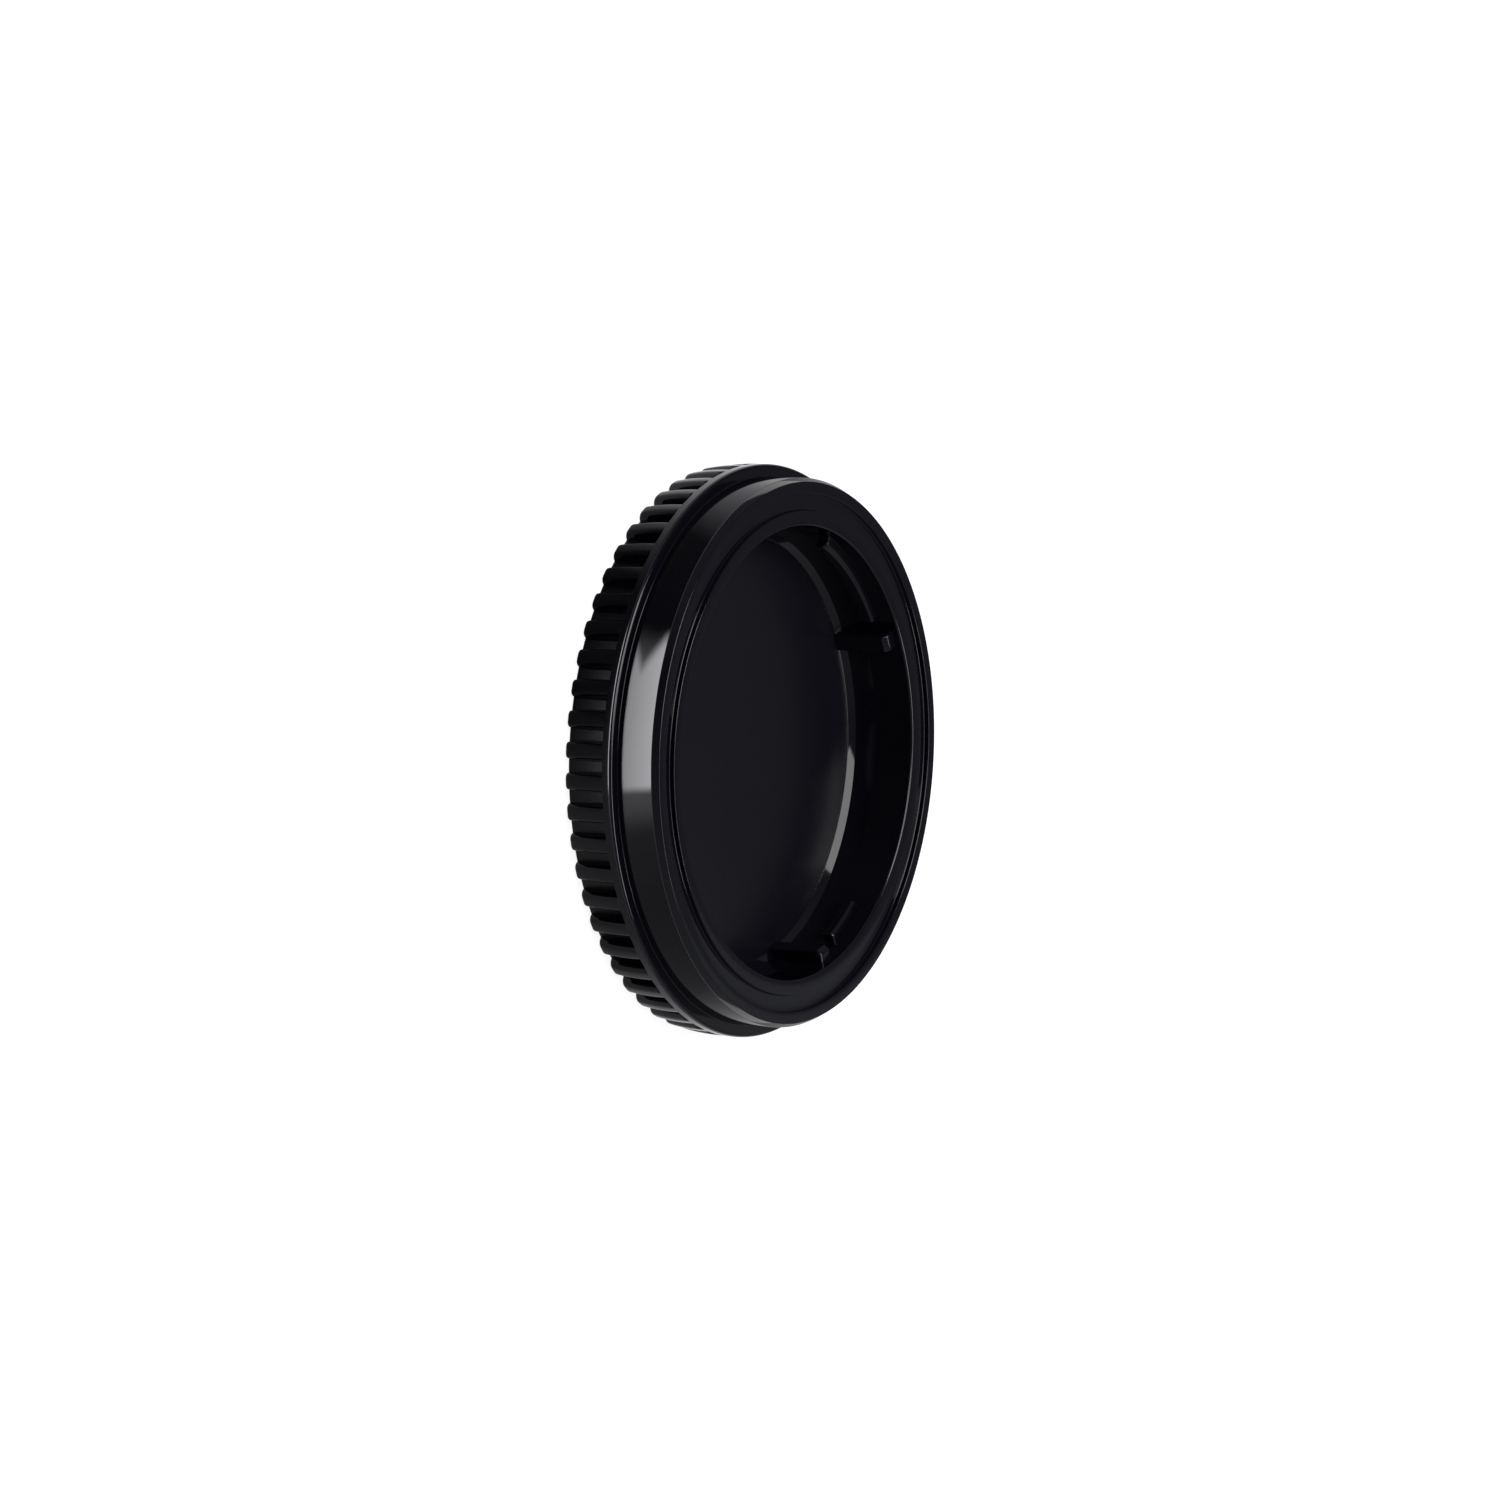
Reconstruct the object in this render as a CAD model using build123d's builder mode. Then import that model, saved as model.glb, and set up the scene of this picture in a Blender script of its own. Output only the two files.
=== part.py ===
from build123d import *
from math import asin, degrees, radians, sqrt, tan
import os

# A rear lens cap, moulded in one piece of black plastic. It lies on its closed back: the origin is the
# middle of the back's underside and +Z runs along the cap's axis, out of the cavity's mouth.
# All sizes are in millimetres and degrees.

os.makedirs("parts", exist_ok=True)

# Widths across the front face, each one measured outwards from the edge of the one before it
bore_diameter = 47.6
lip_width = 1.65
ring_groove_width = 1.8
outer_ring_width = 1.2
collar_chamfer_width = 0.4
grip_ledge_width = 1.25

# Heights along the axis, from the back to the front
back_recess_depth = 1.2
floor_thickness = 2.4
rib_length = 4.85
plain_band_height = 1.15
collar_height = 4.85
collar_chamfer_height = 0.75

# The grip: round-edged ribs, drawn in towards the back along an arc, with straight grooves between them
rib_count = 56
first_rib_angle = 1.88
groove_depth = 1.5
rib_width = 1.6
rib_round = 0.5
rib_draft = 7.0
rib_thickness = 1.8
rib_set_back = 0.03
rib_back_chamfer = 0.3
grip_crown_drop = 0.55
grip_front_round = 0.35
back_rim_width = 2.6

# Small features of the section
ring_groove_depth = 0.55
mouth_round = 0.3
floor_corner = 0.6
lower_wall_draw_in = 0.55
lower_wall_height = 2.2

# Bayonet tabs and stop bars on the cavity's wall
tab_depth = 2.3
tab_thickness = 1.4
tab_reach = 0.85
tab_lead_in = 0.25
first_tab_start = 127.5
first_tab_span = 33.5
second_tab_start = 34.5
second_tab_span = 14.5
third_tab_start = 257.0
third_tab_span = 26.0
stop_depth = 0.9
stop_reach = 1.55
stop_width = 2.0
stop_lead_in = 0.5
first_stop_angle = 122.0
second_stop_angle = 24.3
wall_root = 0.5

# Radii and levels that follow from them
bore_radius = bore_diameter / 2
lip_radius = bore_radius + lip_width
ring_groove_radius = lip_radius + ring_groove_width
face_radius = ring_groove_radius + outer_ring_width
collar_radius = face_radius + collar_chamfer_width
grip_radius = collar_radius + grip_ledge_width
groove_radius = grip_radius - groove_depth
rib_crest_radius = grip_radius - rib_set_back
back_recess_radius = groove_radius - back_rim_width
root_radius = bore_radius + wall_root
lower_wall_radius = bore_radius - lower_wall_draw_in
floor_level = back_recess_depth + floor_thickness
ledge_level = rib_length + plain_band_height
front_level = ledge_level + collar_height

# The ribs' arc, in a plane through the axis: it starts upright at the plain band and leans in to the back.
# A rib is bent a little further than its inner side needs to come out below the back.
crown_radius = (rib_length**2 + grip_crown_drop**2) / (2 * grip_crown_drop)
crown_middle = grip_radius - crown_radius
back_crest_radius = crown_middle + sqrt((rib_crest_radius - crown_middle) ** 2 - rib_length**2)
rib_inner_arc = crown_radius - rib_set_back - rib_thickness
rib_bend = degrees(asin(rib_length / (rib_inner_arc - rib_round)))
rib_inner_radius = rib_crest_radius - rib_thickness
rib_inner_width = rib_width + 2 * rib_thickness * tan(radians(rib_draft))


def radial_plane(angle):
    """The upright plane through the cap's axis at an angle, with x outwards and y upwards."""
    outwards = Vector(1, 0, 0).rotate(Axis.Z, angle)
    across = Vector(0, -1, 0).rotate(Axis.Z, angle)
    return Plane((0, 0, 0), x_dir=outwards, z_dir=across)


# One rib of the grip: a round-edged bar bent along the arc, cut level with the back and chamfered there
with BuildPart() as grip_rib:
    with BuildSketch(Plane.XY.offset(rib_length)) as rib_section:
        with BuildLine():
            Polyline(
                (rib_inner_radius, -rib_inner_width / 2),
                (rib_crest_radius, -rib_width / 2),
                (rib_crest_radius, rib_width / 2),
                (rib_inner_radius, rib_inner_width / 2),
                close=True,
            )
        make_face()
        fillet(rib_section.vertices().group_by(Axis.X)[-1], rib_round)
    revolve(axis=Axis((crown_middle, 0, rib_length), (0, 1, 0)), revolution_arc=rib_bend)
    split(bisect_by=Plane.XY, keep=Keep.TOP)
    with BuildSketch(Plane.XZ):
        with BuildLine():
            Polyline(
                (back_crest_radius - rib_back_chamfer, 0),
                (back_crest_radius + rib_back_chamfer, 0),
                (back_crest_radius + rib_back_chamfer, 2 * rib_back_chamfer),
                close=True,
            )
        make_face()
    revolve(axis=Axis.Z, mode=Mode.SUBTRACT)

with BuildPart() as lens_cap_body:
    # The section, from the grip's back edge in under the back, up the cavity and down the collar to the
    # plain band, with the grip's groove floors as its last side
    with BuildSketch(Plane.XZ) as section:
        with BuildLine():
            Polyline(
                (groove_radius, 0),
                (back_recess_radius, 0),
                (back_recess_radius, back_recess_depth),
                (0, back_recess_depth),
                (0, floor_level),
                (lower_wall_radius - floor_corner, floor_level),
                (lower_wall_radius, floor_level + floor_corner),
                (bore_radius, floor_level + floor_corner + lower_wall_height),
                (bore_radius, front_level),
                (lip_radius, front_level),
                (lip_radius, front_level - ring_groove_depth),
                (ring_groove_radius, front_level - ring_groove_depth),
                (ring_groove_radius, front_level),
                (face_radius, front_level),
                (collar_radius, front_level - collar_chamfer_height),
                (collar_radius, ledge_level),
                (grip_radius, ledge_level),
                (grip_radius, rib_length),
                (groove_radius, rib_length),
                close=True,
            )
        make_face()
        fillet(section.vertices().group_by(Axis.X)[-1].sort_by(Axis.Y)[-1], grip_front_round)
        fillet(section.vertices().group_by(Axis.Y)[-1].sort_by(Axis.X)[0], mouth_round)
    revolve(axis=Axis.Z)

    # The ribs stand round the groove floors and end under the plain band
    with PolarLocations(0, rib_count, start_angle=first_rib_angle):
        add(grip_rib.part)

    # The bayonet tabs, short arcs on the wall below the mouth with a sloped inner edge on top
    tab_face = bore_radius - tab_reach
    tab_top = front_level - tab_depth
    tab_bottom = tab_top - tab_thickness
    tabs = (
        (first_tab_start, first_tab_span),
        (second_tab_start, second_tab_span),
        (third_tab_start, third_tab_span),
    )
    for tab_start, tab_span in tabs:
        with BuildSketch(radial_plane(tab_start)):
            with BuildLine():
                Polyline(
                    (root_radius, tab_bottom),
                    (root_radius, tab_top),
                    (tab_face + tab_lead_in, tab_top),
                    (tab_face, tab_top - tab_lead_in),
                    (tab_face, tab_bottom),
                    close=True,
                )
            make_face()
        revolve(axis=Axis.Z, revolution_arc=tab_span)

    # The stop bars, which run down the wall to the floor beside the tabs, with a sloped lead-in on top
    stop_face = bore_radius - stop_reach
    stop_bottom = floor_level - wall_root
    stop_top = front_level - stop_depth
    for stop_angle in (first_stop_angle, second_stop_angle):
        with BuildSketch(radial_plane(stop_angle)):
            with BuildLine():
                Polyline(
                    (root_radius, stop_bottom),
                    (root_radius, stop_top),
                    (stop_face + stop_lead_in, stop_top),
                    (stop_face, stop_top - stop_lead_in),
                    (stop_face, stop_bottom),
                    close=True,
                )
            make_face()
        extrude(amount=stop_width / 2, both=True)

lens_cap_body.part.label = "lens_cap_body"
export_step(lens_cap_body.part, "parts/lens_cap_body.step")
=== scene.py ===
import bpy
import numpy as np
from mathutils import Matrix, Vector


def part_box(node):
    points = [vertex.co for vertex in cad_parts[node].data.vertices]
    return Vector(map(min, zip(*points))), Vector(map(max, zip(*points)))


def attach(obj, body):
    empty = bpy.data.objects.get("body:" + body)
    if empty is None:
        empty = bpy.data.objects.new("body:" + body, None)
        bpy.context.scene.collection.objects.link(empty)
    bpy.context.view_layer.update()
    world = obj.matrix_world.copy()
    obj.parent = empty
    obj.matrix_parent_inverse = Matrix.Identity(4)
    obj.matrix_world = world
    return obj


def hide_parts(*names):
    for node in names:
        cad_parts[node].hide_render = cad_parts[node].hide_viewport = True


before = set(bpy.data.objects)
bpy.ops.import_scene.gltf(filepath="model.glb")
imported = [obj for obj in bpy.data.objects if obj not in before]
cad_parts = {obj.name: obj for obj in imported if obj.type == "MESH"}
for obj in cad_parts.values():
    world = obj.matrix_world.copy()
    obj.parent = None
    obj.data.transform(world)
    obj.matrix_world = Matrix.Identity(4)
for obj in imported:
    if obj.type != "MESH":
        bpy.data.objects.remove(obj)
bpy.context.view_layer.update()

# The cap's moulding: one shot of black plastic, a closed disc with a ribbed grip, a polished collar and a
# shallow cavity. Its rings are turned in the mould, so they come from one section carried round the axis,
# and the grip's ribs stand round a rim that is crowned towards the back. Sizes are in millimetres.
grip_radius, _, front_level = np.array(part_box("lens_cap_body"))[1] * 1000
ledge_level = front_level - 4.85
collar_radius = grip_radius - 1.25
chamfer_level = front_level - 0.75
face_radius = collar_radius - 0.4
ring_groove_radius = face_radius - 1.2
ring_groove_level = front_level - 0.55
lip_radius = ring_groove_radius - 1.8
bore_radius = lip_radius - 1.65
floor_level = front_level - 7.25
floor_radius = bore_radius - 1.15
lower_wall_top = floor_level + 2.8
lower_wall_bottom = floor_level + 0.6
lower_wall_radius = bore_radius - 0.55
back_recess_radius = grip_radius - 4.1
back_recess_level = 1.2
corner_steps = 6

rib_count = 56
first_rib_angle = 1.88
rib_half_width = 0.8
rib_round = 0.5
low_rib_round_share = 0.9
flank_draft = np.radians(7)
groove_radius = grip_radius - 1.5
rib_back_round = 0.45
groove_end_level = ledge_level - 1.15
crown_drop = 0.55
crown_radius = (groove_end_level**2 + crown_drop**2) / (2 * crown_drop)
crown_middle = grip_radius - crown_radius


def rounded_section(corners, rounds, steps):
    """Turns each corner of an outline into an arc tangent to both its sides.

    The arc's centre lies on the corner's bisector, round / sin(half angle) from the corner, and its points
    swing in equal angles from the normal of the side before to the normal of the side after. The first
    and last corners only give directions and have no arc. Returns an array of corner, step and
    (radius, height).
    """
    corners = np.array(corners)
    here = corners[1:-1]
    back = corners[:-2] - here
    ahead = corners[2:] - here
    back = back / np.linalg.norm(back, axis=1, keepdims=True)
    ahead = ahead / np.linalg.norm(ahead, axis=1, keepdims=True)
    half = np.arccos(np.clip((back * ahead).sum(1), -1, 1)) / 2
    rounds = np.array(rounds)
    bisector = back + ahead
    bisector = bisector / np.linalg.norm(bisector, axis=1, keepdims=True)
    centre = here + bisector * (rounds / np.sin(half))[:, None]
    run = (rounds / np.tan(half))[:, None]
    start = (here + back * run - centre) / rounds[:, None]
    end = (here + ahead * run - centre) / rounds[:, None]
    swing = (np.pi - 2 * half)[:, None, None]
    share = np.linspace(0, 1, steps)[None, :, None]
    arc = np.sin((1 - share) * swing) * start[:, None] + np.sin(share * swing) * end[:, None]
    return centre[:, None] + rounds[:, None, None] * arc / np.sin(swing)


def crest_radius(level):
    """The radius of the ribs' crest at a level.

    It follows an arc of crown_radius that is upright at the grooves' front end, and the last rib_back_round
    above the back is drawn in by a quarter circle.
    """
    below = np.maximum(groove_end_level - level, 0)
    short = np.clip(rib_back_round - level, 0, rib_back_round)
    drawn_in = rib_back_round - np.sqrt(rib_back_round**2 - short**2)
    return crown_middle + np.sqrt(crown_radius**2 - below**2) - drawn_in


def grip_surface(level):
    """The angle and the radius of each column of the grip, at its level.

    A rib's outline has a flat top, an arc of rib_round at each edge, and straight flanks that spread by
    flank_draft down to the upright groove floor. The shares say how much of each of these, and of the
    groove after the rib, lies before a column. Where the rib is low, its edges are rounded less.
    """
    crest = crest_radius(level)
    arc = np.pi / 2 - flank_draft
    edge = np.minimum(rib_round, low_rib_round_share * (crest - groove_radius) / (1 - np.cos(arc)))
    flank = (crest - groove_radius - edge * (1 - np.cos(arc))) / np.cos(flank_draft)
    top = rib_half_width - edge * np.tan(arc / 2)
    half = top * top_share + edge * np.sin(arc * arc_share) + flank * np.sin(flank_draft) * flank_share
    depth = edge * (1 - np.cos(arc * arc_share)) + flank * np.cos(flank_draft) * flank_share
    foot = top + edge * np.sin(arc) + flank * np.sin(flank_draft)
    bare = 2 * np.pi / rib_count - 2 * foot / groove_radius
    return rib_turn + side * half / (crest - depth) + groove_share * bare, crest - depth


def ring_points(radius, level, angle):
    """Points of a turned surface: radius and level by row, angle by column, as x, y and z."""
    radius, level, angle = np.broadcast_arrays(radius, level, angle)
    return np.stack([radius * np.cos(angle), radius * np.sin(angle), level], -1).reshape(-1, 3)


def ring_faces(first, second):
    """Quads between two rings of vertex numbers that have the same count, facing away from the material."""
    return np.stack([first, np.roll(first, -1), np.roll(second, -1), second], 1).tolist()


def step_faces(coarse, fine):
    """Five-sided faces from a ring to one with twice as many vertices, two fine edges to each coarse one."""
    odd = fine[1::2]
    even = fine[0::2]
    return np.stack([coarse, np.roll(coarse, -1), np.roll(even, -1), odd, even], 1).tolist()


back_corners = [
    (0, back_recess_level),
    (back_recess_radius, back_recess_level),
    (back_recess_radius, 0),
    (grip_radius, 0),
]
back_rounds = [0.2, 0.2]
back_rows = rounded_section(back_corners, back_rounds, corner_steps).reshape(-1, 2)
front_corners = [
    (grip_radius, 0),
    (grip_radius, ledge_level),
    (collar_radius, ledge_level),
    (collar_radius, chamfer_level),
    (face_radius, front_level),
    (ring_groove_radius, front_level),
    (ring_groove_radius, ring_groove_level),
    (lip_radius, ring_groove_level),
    (lip_radius, front_level),
    (bore_radius, front_level),
    (bore_radius, lower_wall_top),
    (lower_wall_radius, lower_wall_bottom),
    (floor_radius, floor_level),
    (0, floor_level),
]
front_rounds = [0.35, 0.08, 0.3, 0.1, 0.12, 0.12, 0.12, 0.1, 0.3, 0.4, 0.1, 0.1]
front_rows = rounded_section(front_corners, front_rounds, corner_steps)
front_edge = front_rows[0]
cavity_rows = front_rows[1:].reshape(-1, 2)

# The grip's columns: from the middle of a rib's top over its edge and down its flank, mirrored for the other
# side, and then across the groove.
rib_side = np.array([0, 1, 1, 1, 1, 1, 1, 1])
rib_arc = np.array([0, 0, 0.25, 0.5, 0.75, 1, 1, 1])
rib_flank = np.array([0, 0, 0, 0, 0, 0, 0.5, 1])
groove_steps = np.linspace(0, 1, 9)[1:-1]
full = np.ones(groove_steps.size)
rib_columns = 2 * rib_side.size - 1 + groove_steps.size
side = np.tile(np.concatenate([-rib_side[:0:-1], rib_side, full]), rib_count)
top_share = np.abs(side)
arc_share = np.tile(np.concatenate([rib_arc[:0:-1], rib_arc, full]), rib_count)
flank_share = np.tile(np.concatenate([rib_flank[:0:-1], rib_flank, full]), rib_count)
groove_share = np.tile(np.concatenate([np.zeros(rib_columns - full.size), groove_steps]), rib_count)
rib_turn = np.repeat(np.radians(first_rib_angle + 360 / rib_count * np.arange(rib_count)), rib_columns)
columns = np.tile(np.arange(rib_columns) - (rib_side.size - 1), rib_count)
even_angle = rib_turn + columns * 2 * np.pi / rib_turn.size

# The grip's rows: up the rounded back edge, along the crown, up each groove's coved end, where the groove
# keeps cove_depth of its depth and the columns spread evenly, and round the front edge.
back_level = rib_back_round * (1 - np.cos(np.linspace(0, np.pi / 2, 6)))
cove_height = np.array([-0.42, -0.28, -0.17, -0.09, -0.045, -0.02, 0.0, 0.03, 0.07, 0.15])
cove_depth = np.array([1.0, 0.985, 0.93, 0.8, 0.6, 0.35, 0.15, 0.04, 0.0, 0.0])[:, None]
crown_level = np.linspace(rib_back_round, groove_end_level + cove_height[0], 7)[1:-1]
rib_level = np.concatenate([back_level, crown_level])
rib_angle, rib_radius = grip_surface(rib_level[:, None])
cove_level = groove_end_level + cove_height
cove_angle, cove_floor = grip_surface(cove_level[:, None])
cove_crest = crest_radius(cove_level)[:, None]
cove_radius = cove_crest - cove_depth * (cove_crest - cove_floor)
cove_turn = cove_angle + (1 - cove_depth) * (even_angle - cove_angle)
band_margin = 0.03
band_top = front_edge[:1] - (0, band_margin)
top_rows = np.vstack([band_top, front_edge])
top_radius = np.repeat(top_rows[:, :1], rib_turn.size, 1)
top_turn = np.repeat(even_angle[None], len(top_rows), 0)
grip_r = np.vstack([rib_radius, cove_radius, top_radius])
grip_z = np.concatenate([rib_level, cove_level, top_rows[:, 1]])[:, None]
grip_turn = np.vstack([rib_angle, cove_turn, top_turn])

back_points = ring_points(back_rows[:, :1], back_rows[:, 1:], rib_angle[0, ::2])
grip_points = ring_points(grip_r, grip_z, grip_turn)
cavity_points = ring_points(cavity_rows[:, :1], cavity_rows[:, 1:], even_angle[::2])
poles = np.array([(0, 0, back_recess_level), (0, 0, floor_level)])
points = np.vstack([back_points, grip_points, cavity_points, poles])

ids = np.arange(len(points))
back_end = len(back_points)
grip_end = back_end + len(grip_points)
back_ids = ids[:back_end].reshape(len(back_rows), -1)
grip_ids = ids[back_end:grip_end].reshape(len(grip_r), -1)
cavity_ids = ids[grip_end:-2].reshape(len(cavity_rows), -1)
back_pole, floor_pole = ids[-2:]
faces = []
for rows in (back_ids, grip_ids, cavity_ids):
    for first, second in zip(rows[:-1], rows[1:]):
        faces += ring_faces(first, second)
faces += step_faces(back_ids[-1], grip_ids[0])
faces += [face[::-1] for face in step_faces(cavity_ids[0], grip_ids[-1])]
back_middle = np.full_like(back_ids[0], back_pole)
faces += np.stack([back_middle, np.roll(back_ids[0], -1), back_ids[0]], 1).tolist()
floor_middle = np.full_like(cavity_ids[-1], floor_pole)
faces += np.stack([cavity_ids[-1], np.roll(cavity_ids[-1], -1), floor_middle], 1).tolist()

# Where the plastic is satin: the groove floors up to their coves, the cavity's floor and the back.
satin_cove_rows = 4
satin = np.zeros(len(points))
satin[grip_ids[: len(rib_level) + satin_cove_rows]] = groove_share > 0
satin[cavity_ids[-2:]] = 1
satin[back_ids] = 1
satin[[back_pole, floor_pole]] = 1

# The bayonet tabs and stop bars, moulded on the cavity's wall. A tab is a short arc with a sloped inner
# edge that narrows along it, and a stop is an upright bar with a sloped lead-in on top. Their ends are
# rounded.
tab_inner = bore_radius - 0.85
tab_top = front_level - 2.3
tab_bottom = tab_top - 1.4
tab_rounds = [0.02, 0.02, 0.08, 0.08, 0.12]
tab_end_lead = 0.2
tab_steps = 30
wall_root = bore_radius + 0.4
stop_face = bore_radius - 1.55
stop_top = front_level - 0.9
stop_foot = floor_level - 0.4
stop_width = 2.0
stop_rounds = [0.02, 0.02, 0.2, 0.2, 0.02]
stop_lead = 0.5
stop_steps = 4
bar_corner_steps = 4
end_round = 0.3
end_steps = 6


def bar_section(face, top, bottom, lead_in, rounds):
    """A bar's closed section in a plane through the axis: its face, its slope on top and its root.

    The corners are rounded as in rounded_section.
    """
    corners = [
        (wall_root, bottom),
        (wall_root, top),
        (face + lead_in, top),
        (face, top - lead_in),
        (face, bottom),
    ]
    loop = [corners[-1]] + corners + [corners[0]]
    return rounded_section(loop, rounds, bar_corner_steps).reshape(-1, 2)


def tab_section(lead_in, inset):
    """A tab's section, with every free side drawn in by the inset."""
    return bar_section(tab_inner + inset, tab_top - inset, tab_bottom + inset, lead_in, tab_rounds)


def stop_section(inset):
    """A stop bar's section, from below the floor to its top, with its face and top drawn in by the inset."""
    return bar_section(stop_face + inset, stop_top - inset, stop_foot, stop_lead, stop_rounds)


def swept_bar(sections, turn, along):
    """Carries closed (radius, height) sections through stations and closes both ends.

    Each station has its own section, the angle of its plane through the axis, and its shift along the
    tangent there. Returns the points and the faces.
    """
    turn = turn[:, None]
    along = along[:, None]
    x = sections[:, :, 0] * np.cos(turn) - along * np.sin(turn)
    y = sections[:, :, 0] * np.sin(turn) + along * np.cos(turn)
    ids = np.arange(x.size).reshape(x.shape)
    sides = []
    for first, second in zip(ids[:-1], ids[1:]):
        sides += ring_faces(second, first)
    bar = np.stack([x, y, sections[:, :, 1]], -1).reshape(-1, 3)
    return bar, sides + [ids[0].tolist(), ids[-1][::-1].tolist()]


def rounded_stations(length, middle_steps):
    """Places along a bar and the inset there: a quarter circle of end_round at each end, none between."""
    swing = np.linspace(np.pi / 2, 0, end_steps)
    start = end_round - end_round * np.sin(swing)
    inset = end_round - end_round * np.cos(swing)
    middle = np.linspace(end_round, length - end_round, middle_steps)[1:-1]
    place = np.concatenate([start, middle, length - start[::-1]])
    return place, np.concatenate([inset, 0 * middle, inset[::-1]])


bars = []
for tab_start, tab_span, first_lead, last_lead in (
    (127.5, 33.5, 0.2, 0.45),
    (34.5, 14.5, 0.28, 0.28),
    (257.0, 26.0, 0.25, 0.25),
):
    tab_length = np.radians(tab_span) * tab_inner
    place, inset = rounded_stations(tab_length, tab_steps)
    share = (place / tab_length)[:, None, None]
    sections = (1 - share) * tab_section(first_lead, 0) + share * tab_section(last_lead, 0)
    drawn_in = tab_section(tab_end_lead, end_round) - tab_section(tab_end_lead, 0)
    sections = sections + (inset / end_round)[:, None, None] * drawn_in
    bars.append(swept_bar(sections, np.radians(tab_start) + place / tab_inner, 0 * place))
for stop_angle in np.radians([122.0, 24.3]):
    place, inset = rounded_stations(stop_width, stop_steps)
    share = (inset / end_round)[:, None, None]
    sections = (1 - share) * stop_section(0) + share * stop_section(end_round)
    bars.append(swept_bar(sections, 0 * place + stop_angle, place - stop_width / 2))
for bar_points, bar_faces in bars:
    faces += [[corner + len(points) for corner in face] for face in bar_faces]
    points = np.vstack([points, bar_points])

cap_mesh = bpy.data.meshes.new("lens_cap")
cap_mesh.from_pydata((points / 1000).tolist(), [], faces)
cap_mesh.shade_smooth()
sharp_angle = np.radians(40)
cap_mesh.set_sharp_from_angle(angle=sharp_angle)
cap = bpy.data.objects.new("lens_cap", cap_mesh)
bpy.context.scene.collection.objects.link(cap)
even_normals = cap.modifiers.new("face weighted normals", "WEIGHTED_NORMAL")
even_normals.keep_sharp = True
satin_values = cap_mesh.attributes.new("satin", "FLOAT", "POINT")
satin_values.data.foreach_set("value", np.pad(satin, (0, len(points) - len(satin))))

# The plastic is polished, with faint flow marks in its tint and gloss, low ripples, and a fine grain where
# it is satin. The bumps are in metres.
plastic_tints = ((0.0018, 0.0018, 0.0042, 1), (0.0034, 0.0034, 0.0072, 1))
polished_roughness = 0.05
satin_roughness = 0.28
flow_roughness = 0.03
flow_scale = 60
ripple_scale = 240
ripple_strength = 0.3
ripple_height = 0.00002
grain_scale = 4000
grain_height = 0.000008
plastic = bpy.data.materials.new("black_moulded_plastic")
plastic.use_nodes = True
nodes = plastic.node_tree.nodes
links = plastic.node_tree.links
shader = nodes["Principled BSDF"]
shader.inputs["IOR"].default_value = 1.5
cap_space = nodes.new("ShaderNodeTexCoord")
satin_share = nodes.new("ShaderNodeAttribute")
satin_share.attribute_name = "satin"


def noise(scale, detail):
    """A noise texture on the cap's own coordinates. Its features are about 1 / scale metres wide."""
    texture = nodes.new("ShaderNodeTexNoise")
    texture.inputs["Scale"].default_value = scale
    texture.inputs["Detail"].default_value = detail
    links.new(cap_space.outputs["Object"], texture.inputs["Vector"])
    return texture.outputs["Fac"]


flow = noise(flow_scale, detail=4)
tint = nodes.new("ShaderNodeMix")
tint.data_type = "RGBA"
tint.inputs["A"].default_value = plastic_tints[0]
tint.inputs["B"].default_value = plastic_tints[1]
links.new(flow, tint.inputs["Factor"])
links.new(tint.outputs["Result"], shader.inputs["Base Color"])
gloss = nodes.new("ShaderNodeMapRange")
gloss.inputs["To Min"].default_value = polished_roughness
gloss.inputs["To Max"].default_value = satin_roughness
links.new(satin_share.outputs["Fac"], gloss.inputs["Value"])
blotch = nodes.new("ShaderNodeMath")
blotch.operation = "MULTIPLY_ADD"
blotch.inputs[1].default_value = flow_roughness
links.new(flow, blotch.inputs[0])
links.new(gloss.outputs["Result"], blotch.inputs[2])
links.new(blotch.outputs[0], shader.inputs["Roughness"])
ripple = nodes.new("ShaderNodeBump")
ripple.inputs["Strength"].default_value = ripple_strength
ripple.inputs["Distance"].default_value = ripple_height
links.new(noise(ripple_scale, detail=3), ripple.inputs["Height"])
grain = nodes.new("ShaderNodeBump")
grain.inputs["Distance"].default_value = grain_height
links.new(satin_share.outputs["Fac"], grain.inputs["Strength"])
links.new(noise(grain_scale, detail=2), grain.inputs["Height"])
links.new(ripple.outputs["Normal"], grain.inputs["Normal"])
links.new(grain.outputs["Normal"], shader.inputs["Normal"])
cap_mesh.materials.append(plastic)
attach(cap, "root")
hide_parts("lens_cap_body")

# The table: a plain pale sheet that the cap lies on. It looks white to the camera and in polished
# surfaces, and keeps the cap's soft shadow.
floor_half = 3.0
floor_grey = (0.3, 0.3, 0.3, 1)
camera_glow = 0.9
floor_mesh = bpy.data.meshes.new("floor")
floor_corners = floor_half * np.array([(-1, -1, 0), (1, -1, 0), (1, 1, 0), (-1, 1, 0)])
floor_mesh.from_pydata(floor_corners.tolist(), [], [(0, 1, 2, 3)])
floor = bpy.data.objects.new("floor", floor_mesh)
bpy.context.scene.collection.objects.link(floor)
pale = bpy.data.materials.new("pale_sheet")
pale.use_nodes = True
nodes = pale.node_tree.nodes
links = pale.node_tree.links
nodes.remove(nodes["Principled BSDF"])


def calculate(operation, first, second=None, third=None):
    """A math node whose inputs are sockets or plain numbers."""
    node = nodes.new("ShaderNodeMath")
    node.operation = operation
    for slot, value in zip(node.inputs, (first, second, third)):
        if hasattr(value, "is_linked"):
            links.new(value, slot)
        elif value is not None:
            slot.default_value = value
    return node.outputs[0]


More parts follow.
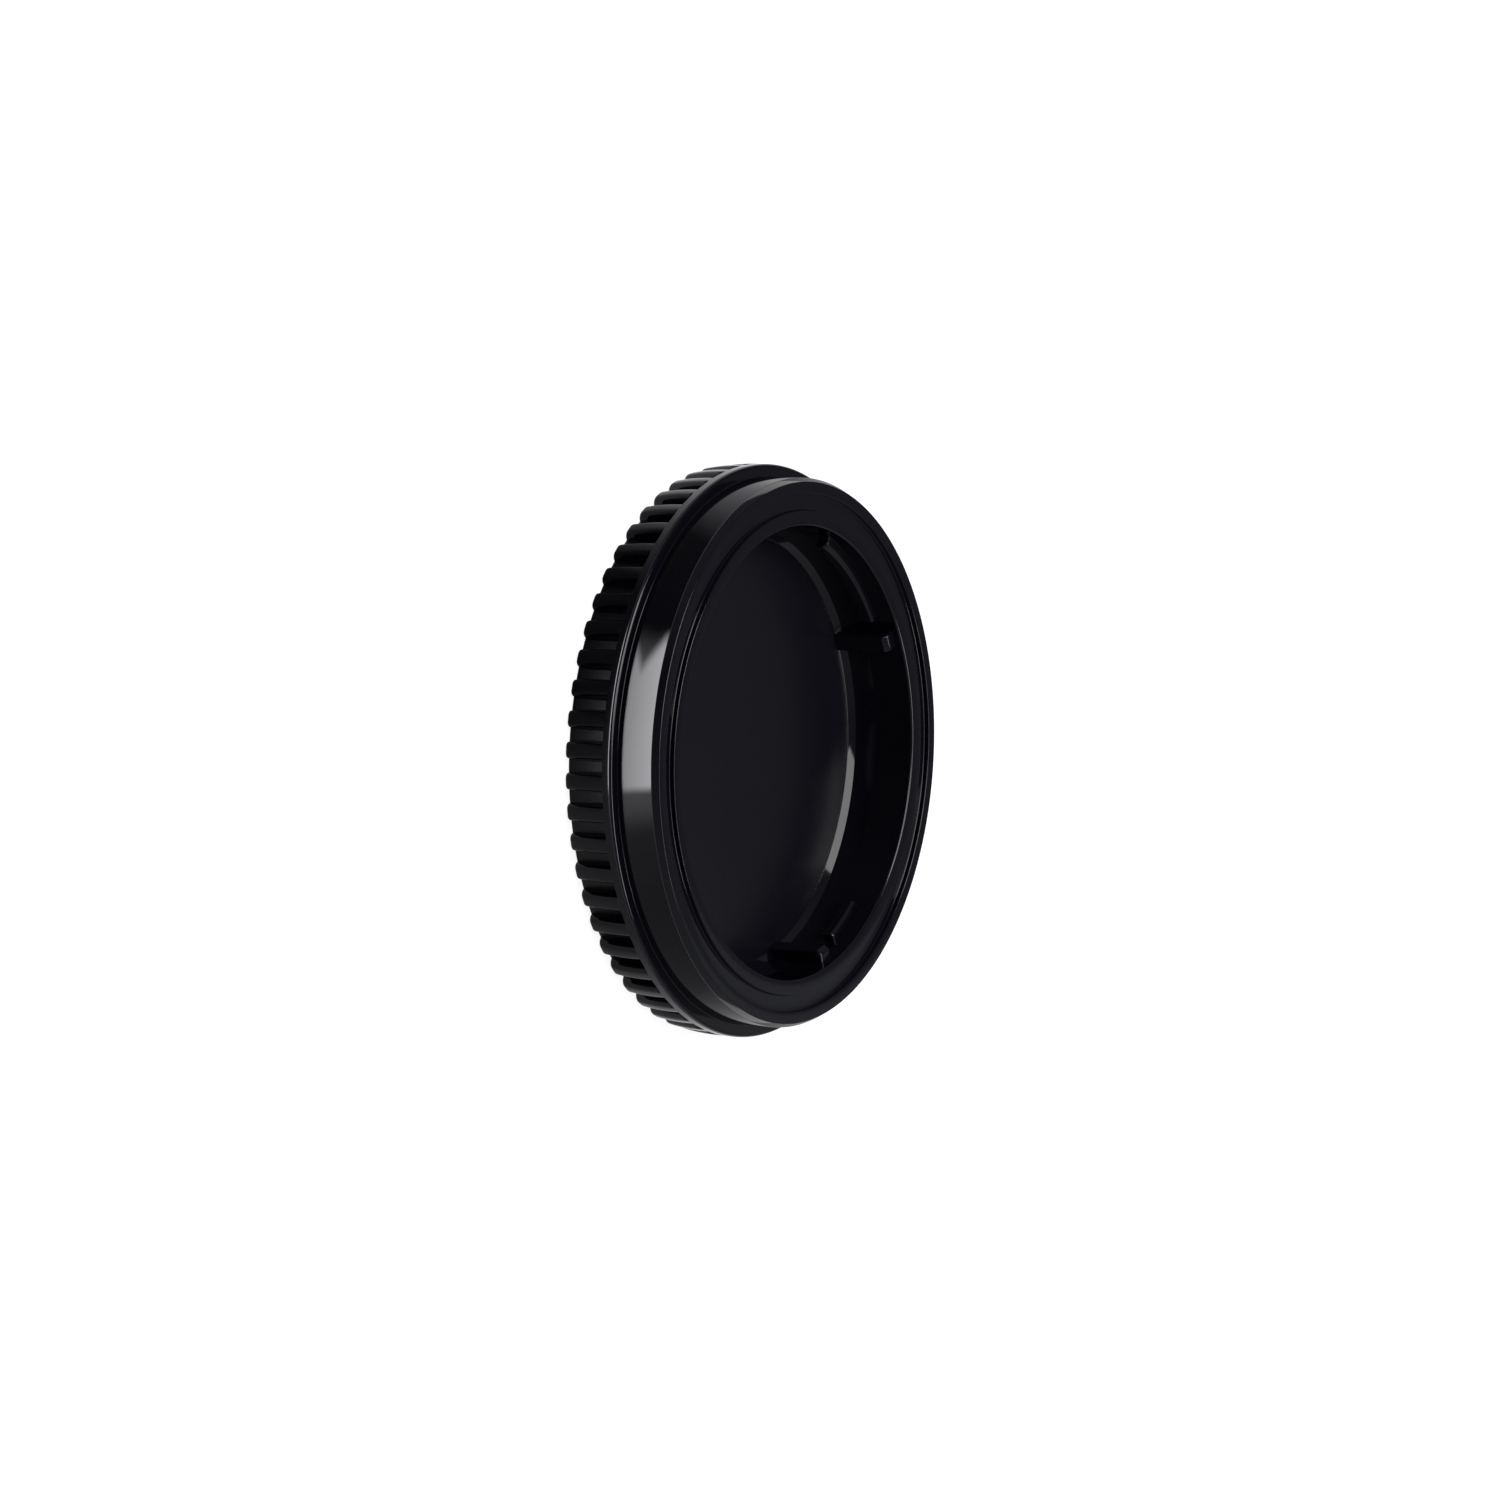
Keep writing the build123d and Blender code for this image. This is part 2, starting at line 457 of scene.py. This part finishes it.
diffuse = nodes.new("ShaderNodeBsdfDiffuse")
diffuse.inputs["Color"].default_value = floor_grey
glow = nodes.new("ShaderNodeEmission")
ray = nodes.new("ShaderNodeLightPath").outputs
mirrored = calculate("MAXIMUM", ray["Is Glossy Ray"], ray["Is Transmission Ray"])
links.new(calculate("MULTIPLY_ADD", ray["Is Camera Ray"], camera_glow, mirrored), glow.inputs["Strength"])
both = nodes.new("ShaderNodeAddShader")
links.new(diffuse.outputs[0], both.inputs[0])
links.new(glow.outputs[0], both.inputs[1])
links.new(both.outputs[0], nodes["Material Output"].inputs["Surface"])
floor_mesh.materials.append(pale)

# The reflector: a ring of panels that lies on the table round the cap, where the camera doesn't see it. It
# shows only in the plastic's polish, with one bright panel at the cap's near side and dark ones beside it.
ring_angle = np.linspace(-np.pi, np.pi, 121)
ring_radius = np.array([[0.0286], [0.038], [0.075]])
ring_height = 0.00006
ring_xyz = ring_points(ring_radius, ring_height, ring_angle)
ring_ids = np.arange(len(ring_xyz)).reshape(len(ring_radius), -1)
ring_quads = np.stack([ring_ids[:-1, :-1], ring_ids[1:, :-1], ring_ids[1:, 1:], ring_ids[:-1, 1:]], -1)
reflector_mesh = bpy.data.meshes.new("reflector")
reflector_mesh.from_pydata(ring_xyz.tolist(), [], ring_quads.reshape(-1, 4).tolist())
reflector = bpy.data.objects.new("reflector", reflector_mesh)
bpy.context.scene.collection.objects.link(reflector)
reflector.visible_camera = False
reflector.visible_diffuse = False
reflector.visible_shadow = False
panels = bpy.data.materials.new("reflector_panels")
panels.use_nodes = True
nodes = panels.node_tree.nodes
links = panels.node_tree.links
nodes.remove(nodes["Principled BSDF"])
spot = nodes.new("ShaderNodeTexCoord")
flat = nodes.new("ShaderNodeSeparateXYZ")
links.new(spot.outputs["Object"], flat.inputs[0])


def soft_step(value, low, high):
    """A smooth change from 0 at low to 1 at high. It falls where low is the greater of the two."""
    rise = nodes.new("ShaderNodeMapRange")
    rise.interpolation_type = "SMOOTHSTEP"
    links.new(value, rise.inputs["Value"])
    rise.inputs["From Min"].default_value = low
    rise.inputs["From Max"].default_value = high
    return rise.outputs["Result"]


def shade_ramp(value, low, high, steps):
    """A colour ramp that gives a grey by value, from steps of (value, grey) between low and high."""
    shades = nodes.new("ShaderNodeValToRGB")
    share = calculate("MULTIPLY_ADD", value, 1 / (high - low), -low / (high - low))
    links.new(share, shades.inputs["Fac"])
    ramp = shades.color_ramp
    ramp.elements.remove(ramp.elements[1])
    for count, (place, grey) in enumerate(steps):
        position = (place - low) / (high - low)
        stop = ramp.elements[0] if count == 0 else ramp.elements.new(position)
        stop.position = position
        stop.color = (grey, grey, grey, 1)
    return shades.outputs["Color"]


# Bearing is a spot's angle round the cap in degrees, from the near side, and far its distance from the axis
# in millimetres. The collar shows it at about bearing / bearing_ratio. Reach is how far the spot lies beyond
# the collar there: the root of far squared less the square of mirror_radius times the sine of that angle,
# less mirror_radius times its cosine.
mirror_radius = 29.4
bearing_ratio = 1.28
nearness = calculate("MULTIPLY", flat.outputs["Y"], -1.0)
bearing = calculate("MULTIPLY", calculate("ARCTAN2", flat.outputs["X"], nearness), 180 / np.pi)
far = calculate("MULTIPLY", flat.outputs["X"], flat.outputs["X"])
far = calculate("MULTIPLY_ADD", flat.outputs["Y"], flat.outputs["Y"], far)
far = calculate("MULTIPLY", calculate("SQRT", far), 1000)
place_seen = calculate("MULTIPLY", bearing, np.pi / 180 / bearing_ratio)
across = calculate("MULTIPLY", calculate("SINE", place_seen), mirror_radius)
across = calculate("MULTIPLY", across, across)
reach = calculate("SQRT", calculate("SUBTRACT", calculate("MULTIPLY", far, far), across))
reach = calculate("MULTIPLY_ADD", calculate("COSINE", place_seen), -mirror_radius, reach)

# The panels' greys by bearing: the inner ones show in the grip and the outer ones in the collar.
inner_end = 10.35
outer_start = 10.65
inner_shades = ((-75, 1.0), (-55, 0.35), (-40, 0.05), (-10, 0.05), (20, 0.28), (50, 0.28), (95, 1.0))
outer_shades = (
    (-125, 0.5),
    (-115, 0.25),
    (-105, 0.6),
    (-80, 0.35),
    (-65, 0.04),
    (-10, 0.04),
    (25, 0.28),
    (45, 0.18),
    (80, 0.16),
    (110, 0.5),
)
outer = soft_step(reach, inner_end, outer_start)
inner = soft_step(reach, outer_start, inner_end)
inner_ring = calculate("MULTIPLY", shade_ramp(bearing, -180, 180, inner_shades), inner)
greys = calculate("MULTIPLY_ADD", shade_ramp(bearing, -180, 180, outer_shades), outer, inner_ring)

# The bright panel grows brighter with reach, and a notch in its first edge makes the highlight's fork. A
# weaker glow of strength 1 goes past both its edges.
notch_reach = 12.4
notch_limit = 3.6
notch_slope = -3.0
panel_start = -19
panel_gain = 0.55
panel_offset = -1.33
panel_far = 17
notch = calculate("ABSOLUTE", calculate("SUBTRACT", reach, notch_reach))
notch = calculate("MINIMUM", notch, notch_limit)
first_edge = calculate("MULTIPLY_ADD", notch, notch_slope, panel_start)
past_edge = calculate("SUBTRACT", bearing, first_edge)
panel = calculate("MULTIPLY", soft_step(past_edge, -5, 2), soft_step(bearing, 14, 11))
panel = calculate("MULTIPLY", panel, outer)
strength = calculate("MULTIPLY_ADD", calculate("MINIMUM", reach, panel_far), panel_gain, panel_offset)
panel = calculate("MULTIPLY", panel, strength)
halo = calculate("MULTIPLY", soft_step(bearing, 26, 14), soft_step(bearing, -34, -22))
panel = calculate("MULTIPLY_ADD", halo, outer, panel)
glow = nodes.new("ShaderNodeEmission")
glow.inputs["Color"].default_value = (0.96, 0.96, 1, 1)
links.new(calculate("ADD", panel, greys), glow.inputs["Strength"])
links.new(glow.outputs[0], nodes["Material Output"].inputs["Surface"])
reflector_mesh.materials.append(panels)

# The card: an upright sheet at the cap's far side, out of the camera's sight, which shows only in the
# polish of the front face. It is paler at one end.
card_half = 0.06
card_distance = 0.1
card_bottom = 0.02
card_top = 0.1
card_corners = [
    (-card_half, card_distance, card_bottom),
    (card_half, card_distance, card_bottom),
    (card_half, card_distance, card_top),
    (-card_half, card_distance, card_top),
]
card_mesh = bpy.data.meshes.new("card")
card_mesh.from_pydata(card_corners, [], [(0, 1, 2, 3)])
card = bpy.data.objects.new("card", card_mesh)
bpy.context.scene.collection.objects.link(card)
card.visible_camera = False
card.visible_diffuse = False
card.visible_shadow = False
card_sheet = bpy.data.materials.new("card_sheet")
card_sheet.use_nodes = True
nodes = card_sheet.node_tree.nodes
links = card_sheet.node_tree.links
nodes.remove(nodes["Principled BSDF"])
spot = nodes.new("ShaderNodeTexCoord")
flat = nodes.new("ShaderNodeSeparateXYZ")
links.new(spot.outputs["Object"], flat.inputs[0])
card_shades = ((-0.06, 0.1), (-0.02, 0.09), (0.018, 0.09), (0.024, 0.2), (0.03, 0.22))
glow = nodes.new("ShaderNodeEmission")
glow.inputs["Color"].default_value = (0.93, 0.95, 1, 1)
links.new(shade_ramp(flat.outputs["X"], -card_half, card_half, card_shades), glow.inputs["Strength"])
links.new(glow.outputs[0], nodes["Material Output"].inputs["Surface"])
card_mesh.materials.append(card_sheet)

# The light: a dim cool room that is paler at both ends and white to the camera, one large soft lamp above
# the cap's near side, and a long narrow one overhead that draws thin lines along the edges.
world = bpy.data.worlds.new("room")
bpy.context.scene.world = world
world.use_nodes = True
nodes = world.node_tree.nodes
links = world.node_tree.links
spot = nodes.new("ShaderNodeTexCoord")
room = nodes.new("ShaderNodeSeparateXYZ")
links.new(spot.outputs["Generated"], room.inputs[0])
ray = nodes.new("ShaderNodeLightPath").outputs
room_shades = ((-0.85, 0.16), (-0.45, 0.04), (0, 0.09), (0.9, 0.26))
walls = shade_ramp(room.outputs["X"], -1, 1, room_shades)
links.new(calculate("MAXIMUM", walls, ray["Is Camera Ray"]), nodes["Background"].inputs["Strength"])
cool = nodes.new("ShaderNodeMix")
cool.data_type = "RGBA"
cool.inputs["A"].default_value = (0.93, 0.95, 1, 1)
cool.inputs["B"].default_value = (1, 1, 1, 1)
links.new(ray["Is Camera Ray"], cool.inputs["Factor"])
links.new(cool.outputs["Result"], nodes["Background"].inputs["Color"])


def soft_lamp(name, direction, distance, width, height, radiance):
    """A rectangular lamp that faces the cap from a direction. Its power is pi times area times radiance."""
    lamp = bpy.data.lights.new(name, "AREA")
    lamp.shape = "RECTANGLE"
    lamp.size = width
    lamp.size_y = height
    lamp.energy = np.pi * width * height * radiance
    stand = bpy.data.objects.new(name, lamp)
    aim = Vector(direction).normalized()
    facing = aim.to_track_quat("Z", "Y").to_matrix().to_4x4()
    stand.matrix_world = Matrix.Translation(aim * distance) @ facing
    stand.visible_camera = False
    bpy.context.scene.collection.objects.link(stand)


soft_lamp("key", (-0.35, -0.35, 0.85), distance=0.6, width=0.45, height=0.3, radiance=4.0)
soft_lamp("edge", (0, 0.12, 0.99), distance=0.6, width=0.7, height=0.16, radiance=5.0)

# The camera, at the photograph's viewing angle: the cap's face is turned about 60 degrees away from it, and
# it is rolled so that the cap's axis points to the right. The numbers come from fitting the photograph's
# ellipses.
axis_tilt = np.radians(59.55)
axis_roll = np.radians(3.05)
lens_mm = 481
camera_distance = 2.1
shift_right = -0.00508
shift_up = 0.00031
back = np.array((0, -np.sin(axis_tilt), np.cos(axis_tilt)))
along_axis = np.array((0, np.cos(axis_tilt), np.sin(axis_tilt)))
across_axis = np.array((-1, 0, 0))
right = np.cos(axis_roll) * along_axis + np.sin(axis_roll) * across_axis
up = np.cos(axis_roll) * across_axis - np.sin(axis_roll) * along_axis
target = np.array((0, 0, front_level / 1000)) + shift_right * right + shift_up * up
camera_data = bpy.data.cameras.new("camera")
camera_data.lens = lens_mm
camera_data.sensor_width = 36
camera_data.clip_end = 20
camera = bpy.data.objects.new("camera", camera_data)
pose = np.eye(4)
pose[:3] = np.stack([right, up, back, target + camera_distance * back], 1)
camera.matrix_world = Matrix(pose)
bpy.context.scene.collection.objects.link(camera)
bpy.context.scene.camera = camera

bpy.context.scene.view_settings.view_transform = "Standard"
